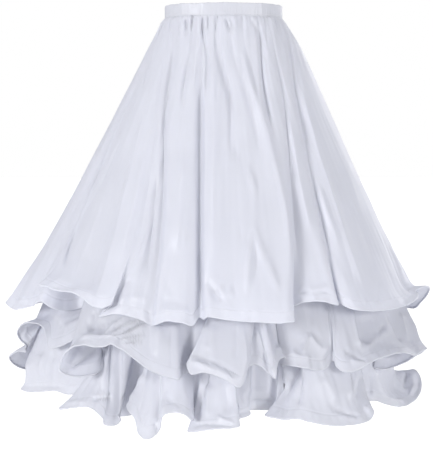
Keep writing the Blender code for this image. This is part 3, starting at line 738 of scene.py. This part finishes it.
def addCreases(points, tier, angle, ring):
    # pushes the cloth in along the creases: away from the camera in the upper tier's front, square to the
    # cloth in the front of the others, and towards the axis elsewhere
    x, y = pictureOf(points)
    facing = soft((np.cos(angle) + 0.12) / 0.2)    # fades out round the sides
    sight = points - np.array(cameraPlace)
    sight /= np.linalg.norm(sight, axis=2)[..., None]
    if tier.layer > 0:
        normals = gridNormals(points)
        turned = np.clip((normals * sight).sum(axis=2) * 6, -1, 1)    # softly changes sign at the edges
        sight = normals * turned[..., None]
    shown = creaseDepth(x, y, tier.creases) * facing * drape["creaseShare"]
    degrees = np.degrees(angle) % 360
    percent = np.broadcast_to(ring * 100, angle.shape)
    hidden = creaseDepth(degrees, percent, sideCreases(tier)) * (1 - facing)
    outward = np.stack([np.sin(angle), -np.cos(angle), np.zeros(angle.shape)], axis=2)
    return points + sight * shown[..., None] - outward * hidden[..., None]


# Soft unevenness of the cloth: depths in metres, and how close its waves lie, in noise steps for a radian
# round the skirt and for a metre down it
uneven = {
    "depth": 0.0036,
    "closeRound": 3.2,
    "closeDown": 3,
    "full": 0.15,              # metres below the band where it is full
    "smallerShare": 0.4,       # of a second, closer unevenness
    "smallerClose": 3.1,
    "streakDepth": 0.0010,
    "streakRound": 26,
    "streakDown": 5,
    "crumpleDepth": 0.0022,
    "crumplePatches": 1.7,
    "crumpleClose": 9,
    "crumpleShare": 0.15,      # raises how much of the cloth is crumpled
    "crumpleAtHem": 0.5,
    "crumpleHeight": 0.06,
    "fineFull": 0.05,          # metres below the band where streaks and crumples are full
    "puckerDepth": 0.0014,     # of the turned hem
    "puckerLength": 0.013,
    "puckerHeight": 0.02,
    "puckerReach": 0.03,
}


def noisePlace(angle, close, along):
    # a place in the noise, which joins up round the skirt
    return Vector((math.sin(angle) * close, math.cos(angle) * close, along))


def addUneven(points, tier, angle, fall, across):
    # soft unevenness all over, a puckered turned hem and the dent of its stitching
    rows, columns = points.shape[:2]
    normals = gridNormals(points)
    amount = np.zeros((rows, columns))
    seed = tier.seed * 3.7
    for row in range(rows):
        above = fall[row]
        body = uneven["depth"] * min(1, (fall[0] - above) / uneven["full"])
        fine = min(1, (fall[0] - above) / uneven["fineFull"])
        atHem = uneven["crumpleShare"] + uneven["crumpleAtHem"] * math.exp(-above / uneven["crumpleHeight"])
        edge = uneven["puckerDepth"] * math.exp(-(above / uneven["puckerReach"]) ** 2)
        for column in range(columns):
            turned = angle[row, column]
            place = noisePlace(turned, uneven["closeRound"], above * uneven["closeDown"] + seed)
            streak = noisePlace(turned, uneven["streakRound"], above * uneven["streakDown"] + seed)
            value = body * noise.noise(place)
            value += body * uneven["smallerShare"] * noise.noise(place * uneven["smallerClose"])
            value += uneven["streakDepth"] * noise.noise(streak) * fine
            crumpled = min(max(0, noise.noise(place * uneven["crumplePatches"]) + atHem), 1)
            value += uneven["crumpleDepth"] * crumpled * noise.noise(place * uneven["crumpleClose"]) * fine
            if edge > 1e-5:
                pucker = Vector((
                    across[column] / uneven["puckerLength"], above / uneven["puckerHeight"], seed))
                strength = 0.35 + 0.65 * abs(noise.noise(Vector((across[column] * 9, 0, seed))) * 2)
                value += edge * strength * noise.noise(pucker)
            amount[row, column] = value
    dent = skirt["stitchDent"] * np.exp(-((fall - skirt["stitchHeight"]) / skirt["stitchWidth"]) ** 2)
    amount -= dent[:, None]
    return points + normals * amount[..., None]


# Gathers of the upper tier under the band
gather = {
    "count": 37,
    "depth": 0.0056,
    "length": 0.085,
    "start": 0.012,          # metres below the band where they are full
    "fineCount": 2.3,        # small gathers for each large one
    "fineShare": 0.35,
    "fineLength": 0.03,
}


def gathers(angle, fall):
    # how far they stand out; the other sines keep them from being even
    strayed = angle + 0.05 * np.sin(3 * angle + 0.7) + 0.03 * np.sin(7 * angle + 2.1)
    wave = 0.5 + 0.5 * np.sin(gather["count"] * strayed)
    wave = wave * (0.65 + 0.35 * np.sin(5 * angle + 1.3) * np.sin(11 * angle))
    wave = wave * np.exp(-fall / gather["length"])
    fine = 0.5 + 0.5 * np.sin(gather["count"] * gather["fineCount"] * strayed + 1.0)
    fine = gather["fineShare"] * fine * np.exp(-fall / gather["fineLength"])
    return gather["depth"] * np.clip(fall / gather["start"], 0, 1) * (wave + fine)


# Rows of points down the cloth, closer near the waist and above the hem, in metres
rowPlan = {
    "turnedHem": (0.033, 0.028, 0.0245, 0.023, 0.0215, 0.019, 0.015, 0.011, 0.0075, 0.0045, 0.002, 0),
    "upperHem": (0.125, 0.110, 0.096, 0.084, 0.073, 0.063, 0.054, 0.046, 0.039),
    "lowerHem": np.linspace(0.154, 0.039, 20),
    "upperWaist": (0, 0.002, 0.005, 0.009, 0.014, 0.020, 0.027, 0.036, 0.047, 0.060),
    "upperBody": 34,
    "lowerWaist": (0, 0.02, 0.06),    # shares of the length
    "lowerShown": 0.26,               # above this the tier over it hides the cloth
    "lowerBody": 6,
}


def ringShares(tier, length):
    # where the rows lie, as shares of the tier's length
    if tier.layer == 0:
        low = 1 - np.concatenate([rowPlan["upperHem"], rowPlan["turnedHem"]]) / length
        near = np.array(rowPlan["upperWaist"]) / length
        body = np.linspace(near[-1], low[0], rowPlan["upperBody"])[1:-1]
    else:
        low = 1 - np.concatenate([rowPlan["lowerHem"], rowPlan["turnedHem"]]) / length
        near = np.array(rowPlan["lowerWaist"])
        shown = 1 - rowPlan["lowerShown"] / length
        covered = np.linspace(near[-1], shown, rowPlan["lowerBody"])[1:-1]
        body = np.concatenate([covered, np.linspace(shown, low[0], rowPlan["lowerBody"])[:-1]])
    return np.concatenate([near, body, low])


def flatHem(tier, line, slope):
    # the hem before its cloth turns, as angle, share of the half width, and height above the plain hem
    outEnd, upEnd = rollShift(line[:, 3], np.full(len(line), skirt["rollLength"]), slope)
    facing = np.column_stack([line[:, 0] - leanAt(line[:, 2]), line[:, 1] / skirt["depthShare"]])
    facing /= np.linalg.norm(facing, axis=1)[:, None]
    base = line[:, :3].copy()
    base[:, :2] -= facing * outEnd[:, None]
    base[:, 2] -= upEnd
    angle, out = polar(base, tier)
    return angle, out, base[:, 2] - tier.level


def tierPoints(tier):
    # points of the whole round: a row for each ring, a column for each thread
    line, hemLength, rowPlaces = hemLine(tier)
    count = len(line)
    top = -skirt["bandHeight"] / 2
    slope = math.atan2(tier.halfWidth - skirt["waistHalfWidth"], top - tier.level)
    angle, out, drop = flatHem(tier, line, slope)
    roll, rise = line[:, 3], line[:, 4]

    # the broad form, the angles at the waist, and both brought to the guides
    turn = np.linspace(0, 2 * math.pi, count, endpoint=False)
    span = count // drape["hemSpan"]
    coarse = blurRound(blurRound(np.column_stack([angle - turn, out, drop]), span), span)
    coarse[:, 0] += turn
    span = count // drape["waistSpan"]
    waist = blurRound(blurRound((angle - turn)[:, None], span), span)[:, 0] + turn
    waistHalf = skirt["waistHalfWidth"] - skirt["clothWall"] / 2 - tier.layer * skirt["layerStep"]
    waistShift, straightShift = guideShifts(tier, rowPlaces, waistHalf, waist, coarse[:, 0], angle, rise)
    waist = waist + waistShift
    coarse[:, 0] += straightShift

    # each value at the threads, which lie closer in the front
    split = rowPlaces[-1]
    position = np.concatenate([
        np.linspace(0, split, tier.frontColumns, endpoint=False),
        np.linspace(split, 1, backFlute["columns"], endpoint=False)]) * count

    def picked(values):
        padded = np.append(values, values[-1] * 2 - values[-2])
        return np.interp(position, np.arange(count + 1), padded)

    angleFine, outFine, dropFine, roll, rise = (picked(values) for values in (angle, out, drop, roll, rise))
    angleCoarse, outCoarse, dropCoarse = (picked(values) for values in coarse.T)
    angleWaist = picked(waist)
    length = math.hypot(tier.halfWidth - waistHalf, tier.level - top)
    ring = ringShares(tier, length)[:, None]
    half = waistHalf + (tier.halfWidth - waistHalf) * ring
    reach = ring * tier.halfWidth / half
    fold = foldShare(ring, rise)
    angleHere = angleWaist + (angleCoarse - angleWaist) * reach + (angleFine - angleCoarse) * fold
    depthHere = (1 - outCoarse) * reach * np.sqrt(ring) + (outCoarse - outFine) * fold
    height = top + (tier.level + dropCoarse - top) * ring + (dropFine - dropCoarse) * fold
    along = np.clip((ring - 1) * length + skirt["rollLength"], 0, None)
    outward, upward = rollShift(roll[None, :], along, slope)
    small = gathers(angleWaist, ring * length) if tier.layer == 0 else 0
    radius = half * (1 - depthHere) + small + bulgeOut(tier, angleHere, ring)
    points = np.stack([
        leanAt(height) + (radius + outward) * np.sin(angleHere),
        -(radius * skirt["depthShare"] + outward) * np.cos(angleHere),
        height + upward], axis=2)
    points = addCreases(points, tier, angleHere, ring)
    across = position / count * hemLength
    points = addUneven(points, tier, angleHere, (1 - ring[:, 0]) * length, across)
    return points, ring[:, 0], across, hemLength, length


def wallTree(points):
    # a search tree of the closed round of a tier
    rows, columns = points.shape[:2]
    faces = [
        (row * columns + column, row * columns + (column + 1) % columns,
         (row + 1) * columns + (column + 1) % columns, (row + 1) * columns + column)
        for row in range(rows - 1) for column in range(columns)
    ]
    return BVHTree.FromPolygons([Vector(point) for point in points.reshape(-1, 3)], faces)


# How a tier keeps inside the one over it, in metres
inside = {
    "gapAtBand": 0.0008,
    "gap": 0.004,                        # what the gap grows by
    "gapFull": 0.15,                     # share of the length where it is full
    "lifts": (0, 0.012, 0.028, 0.046),   # how far above a point the tier over it also counts
    "freeLift": 0.006,                   # below that tier's hem, where the cloth starts to come out
    "freeSlope": 1.1,                    # how fast it may come out from there
    "search": 0.03,                      # how far outside a point the tier over it is looked for
    "spread": 4,                         # threads on either side that are pressed in too
    "smoothed": 5,                       # threads on either side that are smoothed together
    "letOut": 0.01,                      # share by which smoothing down the cloth may let it out again
}


def pressInside(points, rings, tree):
    # pulls a tier's points towards the axis until they clear the tier over them
    rows, columns = points.shape[:2]
    factor = np.ones((rows, columns))
    for row in range(1, rows):
        gap = inside["gapAtBand"] + inside["gap"] * min(rings[row] / inside["gapFull"], 1)
        for column in range(columns):
            point = points[row, column]
            for lift in inside["lifts"]:
                height = min(point[2] + lift, -skirt["bandHeight"])
                lean = float(leanAt(height))
                reach = math.hypot(point[0] - lean, point[1])
                ray = Vector(((point[0] - lean) / reach, point[1] / reach, 0))
                hit = tree.ray_cast(Vector((lean, 0, height)), ray, reach + inside["search"])[0]
                if hit is not None:
                    far = math.hypot(hit.x - lean, hit.y)
                    freed = max(lift - inside["freeLift"], 0) * inside["freeSlope"]
                    factor[row, column] = min(factor[row, column], (far - gap + freed) / reach)
    lowest = factor.copy()
    for shift in range(-inside["spread"], inside["spread"] + 1):
        lowest = np.minimum(lowest, np.roll(factor, shift, axis=1))
    shifts = range(-inside["smoothed"], inside["smoothed"] + 1)
    smooth = np.mean([np.roll(lowest, shift, axis=1) for shift in shifts], axis=0)
    pressed = smooth.copy()
    pressed[1:-1] = (smooth[:-2] + smooth[1:-1] * 2 + smooth[2:]) / 4
    pressed = np.minimum(pressed, smooth + inside["letOut"])
    pressed[0] = 1
    lean = leanAt(points[:, :, 2])
    points[:, :, 0] = lean + (points[:, :, 0] - lean) * pressed
    points[:, :, 1] *= pressed
    return points


def addBead(points):
    # turns the last of the cloth under in a small roll
    last, before = points[-1], points[-3]
    down = last - before
    down /= np.linalg.norm(down, axis=1)[:, None]
    inward = -gridNormals(points[-3:])[-1]
    rows = []
    for step in range(1, skirt["beadRows"] + 1):
        turn = math.radians(skirt["beadTurn"]) * step / skirt["beadRows"]
        rows.append(last + skirt["hemBead"] * (math.sin(turn) * down + (1 - math.cos(turn)) * inward))
    return np.concatenate([points, np.array(rows)])


def addCloth(name, form, material, offset):
    # a named object of thin cloth from its form
    mesh = bpy.data.meshes.new(name)
    form.to_mesh(mesh)
    form.free()
    mesh.shade_smooth()
    mesh.materials.append(material)
    piece = bpy.data.objects.new(name, mesh)
    scene.collection.objects.link(piece)
    wall = piece.modifiers.new("wall", "SOLIDIFY")
    wall.thickness = skirt["clothWall"]
    wall.offset = offset
    return piece


def addPanel(name, points, fall, across, material):
    # one half of a tier: a flat grid of cloth set to its shape, with its own measures as its UV map
    rows, columns = points.shape[:2]
    form = bmesh.new()
    bmesh.ops.create_grid(form, x_segments=columns - 1, y_segments=rows - 1, size=0.5)
    places = []
    for corner in form.verts:
        column = round((corner.co.x + 0.5) * (columns - 1))
        row = round((corner.co.y + 0.5) * (rows - 1))
        places.append((row, column))
        corner.co = points[row, column]
    layer = form.loops.layers.uv.new("cloth")
    form.verts.index_update()
    for face in form.faces:
        for loop in face.loops:
            row, column = places[loop.vert.index]
            loop[layer].uv = (across[column], fall[row])
    bmesh.ops.recalc_face_normals(form, faces=form.faces)
    middle = form.faces[len(form.faces) // 2]
    centre = middle.calc_center_median()
    if middle.normal.x * centre.x + middle.normal.y * centre.y < 0:
        bmesh.ops.reverse_faces(form, faces=form.faces)
    return addCloth(name, form, material, 0)


# The waistband: a casing folded over its elastic, in metres
band = {
    "standsOut": 0.0010,
    "overlap": 0.0012,         # how far it covers the cloth's top
    "edgeHeights": (0, 0.0012, 0.0022, 0.0028, 0.0034, 0.0045),
    "faceStart": 0.008,
    "foldRadius": 0.0021,
    "foldSteps": 6,
    "insideStart": 0.004,      # how far the inner side stays off the fold and the edge
    "insideTravel": 0.03,      # where the inner side begins in the UV map
    "stitchHeight": 0.0028,
    "stitchDent": 0.0005,
    "stitchWidth": 0.0005,
    "columns": 540,
    "ruching": 0.0008,
    "fineRound": 34,           # how close the ruching lies, as for the tiers
    "fineUp": 25,
    "broadRound": 11,
    "broadUp": 10,
    "edgeWave": 0.0011,
    "lowerEdge": 0.004,        # heights over which the edges wave
    "upperEdge": 0.012,
}

bandCreases = [
    (((193, 6), (192, 17)), 0.5, 4),
    (((222, 9), (231, 11), (240, 9.5)), 0.9, 1.4),
    (((222, 13), (229, 12.2), (236, 13.5)), -0.8, 1.3),
    (((206, 9), (205, 17)), 0.4, 2),
    (((243, 5), (243, 17)), 0.4, 2.4),
    (((256, 8), (257, 17)), 0.4, 3),
]


def bandProfile(outer, bottom, top):
    # across and up, from the lower edge over the fold to the inner side
    fold = band["foldRadius"]
    profile = [(outer, bottom + step) for step in band["edgeHeights"]]
    profile += [(outer, height) for height in np.linspace(bottom + band["faceStart"], top, 5)]
    for step in range(1, band["foldSteps"] + 1):
        turn = math.pi * step / band["foldSteps"]
        profile.append((outer - fold * (1 - math.cos(turn)), top + fold * math.sin(turn)))
    innerHeights = np.linspace(top - band["insideStart"], bottom + band["insideStart"], 4)
    return profile + [(outer - 2 * fold, height) for height in innerHeights]


def addWaistband(material):
    form = bmesh.new()
    outer = skirt["waistHalfWidth"] + band["standsOut"]
    bottom = -skirt["bandHeight"] / 2 - band["overlap"]
    top = skirt["bandHeight"] / 2 - band["foldRadius"]
    corners = [form.verts.new((across, 0, height)) for across, height in bandProfile(outer, bottom, top)]
    sides = [form.edges.new(pair) for pair in zip(corners, corners[1:])]
    bmesh.ops.spin(
        form, geom=corners + sides, cent=(0, 0, 0), axis=(0, 0, 1), angle=2 * math.pi,
        steps=band["columns"], use_merge=True)
    bmesh.ops.recalc_face_normals(form, faces=form.faces)
    layer = form.loops.layers.uv.new("cloth")
    for face in form.faces:
        centre = face.calc_center_median()
        middle = math.atan2(centre.x, -centre.y)
        upright = abs(face.normal.z) < 0.5
        if upright and face.normal.x * centre.x + face.normal.y * centre.y < 0 and centre.xy.length > outer:
            face.normal_flip()
        for loop in face.loops:
            turned = math.atan2(loop.vert.co.x, -loop.vert.co.y)
            turned += 2 * math.pi * round((middle - turned) / (2 * math.pi))
            travel = band["insideTravel"] if loop.vert.co.xy.length < outer - 0.003 else 0
            loop[layer].uv = (turned * outer, loop.vert.co.z - bottom + travel)
    places = np.array([corner.co[:] for corner in form.verts])
    angle = np.arctan2(places[:, 0], -places[:, 1])
    places[:, 1] *= skirt["depthShare"]
    x, y = pictureOf(places)
    depth = creaseDepth(x, y, bandCreases) * soft(np.cos(angle) / 0.2)
    above = places[:, 2] - bottom
    depth += band["stitchDent"] * np.exp(-((above - band["stitchHeight"]) / band["stitchWidth"]) ** 2)
    for index, corner in enumerate(form.verts):
        across, behind, height = places[index]
        fine = noisePlace(angle[index], band["fineRound"], height * band["fineUp"])
        broad = noisePlace(angle[index], band["broadRound"], height * band["broadUp"] + 4)
        inward = depth[index] + band["ruching"] * (noise.noise(fine) + 0.8 * noise.noise(broad))
        share = 1 - inward / outer
        nearBottom = soft((band["lowerEdge"] - above[index]) / band["lowerEdge"])
        nearTop = soft((height - top + band["upperEdge"]) / band["upperEdge"])
        wave = noise.noise(broad * 1.7) * nearBottom
        wave += (noise.noise(broad * 0.6) + 0.5 * noise.noise(fine)) * nearTop
        corner.co = (across * share, behind * share, height + band["edgeWave"] * wave)
    return addCloth("waistband_casing", form, material, -1)


# The cloth's finish
satin = {
    "colour": (0.83, 0.84, 0.895),
    "shade": (0.795, 0.805, 0.865),
    "blotches": 14,            # for each metre
    "roughness": 0.40,
    "sheen": 0.15,
    "sheenRoughness": 0.4,
    "casing": 0.91,            # the band's colour, as a share of the cloth's
    "lowerTierShade": 0.935,       # the same for the two lower tiers: painted shade, for the shade that the tiers over them cast
    "letsThrough": 0.50,       # share of the light that passes on through the cloth
    "hemLetsThrough": 0.46,    # the same in the turned hem and the band
    "seamSoftness": 0.001,
    "threadPitch": 0.0005,
    "threadHeight": 0.0002,
    "threadStrength": 0.12,
}


def satinMaterial(name, hasHem, dim=1.0):
    # dim darkens the colour; for the lower tiers it is painted shade from the tiers over them
    # UV in metres: along the hem, and above it
    material = bpy.data.materials.new(name)
    material.use_nodes = True
    nodes, links = material.node_tree.nodes, material.node_tree.links
    surface = nodes["Principled BSDF"]
    output = nodes["Material Output"]
    measure = nodes.new("ShaderNodeUVMap")
    measure.uv_map = "cloth"

    blotch = nodes.new("ShaderNodeTexNoise")
    blotch.inputs["Scale"].default_value = satin["blotches"]
    blotch.inputs["Detail"].default_value = 4
    links.new(measure.outputs["UV"], blotch.inputs["Vector"])
    tint = nodes.new("ShaderNodeMix")
    tint.data_type = "RGBA"
    tint.inputs["A"].default_value = [part * dim for part in satin["shade"]] + [1]
    tint.inputs["B"].default_value = [part * dim for part in satin["colour"]] + [1]
    links.new(blotch.outputs["Fac"], tint.inputs["Factor"])
    links.new(tint.outputs["Result"], surface.inputs["Base Color"])
    surface.inputs["Roughness"].default_value = satin["roughness"]
    surface.inputs["Sheen Weight"].default_value = satin["sheen"]
    surface.inputs["Sheen Roughness"].default_value = satin["sheenRoughness"]

    threads = nodes.new("ShaderNodeTexWave")
    threads.wave_type = "BANDS"
    threads.bands_direction = "X"
    threads.inputs["Scale"].default_value = 0.314 / (2 * satin["threadPitch"])    # a wave holds two threads
    threads.inputs["Distortion"].default_value = 1.5
    threads.inputs["Detail"].default_value = 2
    links.new(measure.outputs["UV"], threads.inputs["Vector"])
    weave = nodes.new("ShaderNodeBump")
    weave.inputs["Strength"].default_value = satin["threadStrength"]
    weave.inputs["Distance"].default_value = satin["threadHeight"]
    links.new(threads.outputs["Fac"], weave.inputs["Height"])
    links.new(weave.outputs["Normal"], surface.inputs["Normal"])

    through = nodes.new("ShaderNodeBsdfTranslucent")
    links.new(tint.outputs["Result"], through.inputs["Color"])
    both = nodes.new("ShaderNodeMixShader")
    both.inputs["Fac"].default_value = satin["hemLetsThrough"]
    if hasHem:
        # less light comes through the turned hem, below the seam
        split = nodes.new("ShaderNodeSeparateXYZ")
        links.new(measure.outputs["UV"], split.inputs["Vector"])
        above = nodes.new("ShaderNodeMapRange")
        above.inputs["From Min"].default_value = skirt["stitchHeight"] - satin["seamSoftness"]
        above.inputs["From Max"].default_value = skirt["stitchHeight"] + satin["seamSoftness"]
        above.inputs["To Min"].default_value = satin["hemLetsThrough"]
        above.inputs["To Max"].default_value = satin["letsThrough"]
        links.new(split.outputs["Y"], above.inputs["Value"])
        links.new(above.outputs["Result"], both.inputs["Fac"])
    links.new(surface.outputs["BSDF"], both.inputs[1])
    links.new(through.outputs["BSDF"], both.inputs[2])
    links.new(both.outputs["Shader"], output.inputs["Surface"])
    return material


whiteSatin = satinMaterial("white_satin", True)
# the lower tiers' cloth is darker: painted shade, for the shade that the tiers over them cast
shadedUnderSatin = satinMaterial("under_satin_painted_shade", True, satin["lowerTierShade"])

waistband = addWaistband(satinMaterial("casing_satin", False, satin["casing"]))
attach(waistband, "root")
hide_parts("waistband")
print("waistband made")

treeOver = None
for tier in tiers:
    points, rings, across, hemLength, length = tierPoints(tier)
    if treeOver:
        points = pressInside(points, rings, treeOver)
    treeOver = wallTree(points)
    full = addBead(points)
    closed = np.concatenate([full, full[:, :1]], axis=1)
    fall = np.concatenate([(1 - rings) * length, np.full(skirt["beadRows"], -0.001)])
    across = np.append(across, hemLength)
    cut = tier.frontColumns
    # the lower tiers take the darker cloth, with its painted shade
    cloth = whiteSatin if tier.layer == 0 else shadedUnderSatin
    front = addPanel(tier.name + "_front_cloth", closed[:, :cut + 1], fall, across[:cut + 1], cloth)
    back = addPanel(tier.name + "_back_cloth", closed[:, cut:], fall, across[cut:], cloth)
    for piece, side in ((front, "front"), (back, "back")):
        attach(piece, "root")
        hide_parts(tier.name + "_" + side)
    print(tier.name, "made, hem", round(hemLength, 2), "m, cloth", round(length, 2), "m")


# Floor and light
studio = {
    "floorHeight": -1.2,
    "floorSize": 30,
    "floorColour": (0.97, 0.97, 0.97, 1),
    "floorRoughness": 0.9,
    "floorGlow": 0.30,       # the floor is a lit sheet, as in a cove
    "dome": 0.45,            # light from all round
    "backdrop": 1.0,         # what the camera sees behind the skirt
}

# soft lights: power, where they come from, and the degrees that they cover
Lamp = namedtuple("Lamp", "name power comesFrom spread")
lamps = [
    Lamp("key", 2.30, (-1.1, -0.9, 0.22), 16),
    Lamp("fill", 1.80, (1.1, -0.9, 0.16), 24),
    Lamp("top", 0.90, (-0.1, 0.15, 1.0), 50),
    Lamp("rim", 0.70, (0.6, 1.0, 0.25), 30),
]

floorForm = bmesh.new()
bmesh.ops.create_grid(floorForm, x_segments=2, y_segments=2, size=studio["floorSize"])
bmesh.ops.translate(floorForm, verts=floorForm.verts, vec=(0, 0, studio["floorHeight"]))
floorMesh = bpy.data.meshes.new("floor")
floorForm.to_mesh(floorMesh)
floorForm.free()
floor = bpy.data.objects.new("floor", floorMesh)
scene.collection.objects.link(floor)
floorMaterial = bpy.data.materials.new("pale_floor")
floorMaterial.use_nodes = True
floorSurface = floorMaterial.node_tree.nodes["Principled BSDF"]
floorSurface.inputs["Base Color"].default_value = studio["floorColour"]
floorSurface.inputs["Roughness"].default_value = studio["floorRoughness"]
floorSurface.inputs["Emission Color"].default_value = (1, 1, 1, 1)
floorSurface.inputs["Emission Strength"].default_value = studio["floorGlow"]
floorMesh.materials.append(floorMaterial)

world = bpy.data.worlds.new("studio")
scene.world = world
world.use_nodes = True
worldNodes, worldLinks = world.node_tree.nodes, world.node_tree.links
dome = worldNodes["Background"]
dome.inputs["Color"].default_value = (1, 1, 1, 1)
dome.inputs["Strength"].default_value = studio["dome"]
backdrop = worldNodes.new("ShaderNodeBackground")
backdrop.inputs["Color"].default_value = (1, 1, 1, 1)
backdrop.inputs["Strength"].default_value = studio["backdrop"]
rays = worldNodes.new("ShaderNodeLightPath")
seenOrLit = worldNodes.new("ShaderNodeMixShader")
worldLinks.new(rays.outputs["Is Camera Ray"], seenOrLit.inputs["Fac"])
worldLinks.new(dome.outputs["Background"], seenOrLit.inputs[1])
worldLinks.new(backdrop.outputs["Background"], seenOrLit.inputs[2])
worldLinks.new(seenOrLit.outputs["Shader"], worldNodes["World Output"].inputs["Surface"])
for lamp in lamps:
    light = bpy.data.lights.new(lamp.name, "SUN")
    light.energy = lamp.power
    light.angle = math.radians(lamp.spread)
    lightObject = bpy.data.objects.new(lamp.name, light)
    scene.collection.objects.link(lightObject)
    lightObject.location = Vector(lamp.comesFrom) * 3
    lightObject.rotation_euler = (-Vector(lamp.comesFrom)).to_track_quat("-Z", "Y").to_euler()
scene.view_settings.view_transform = "Standard"
print("light and floor set")
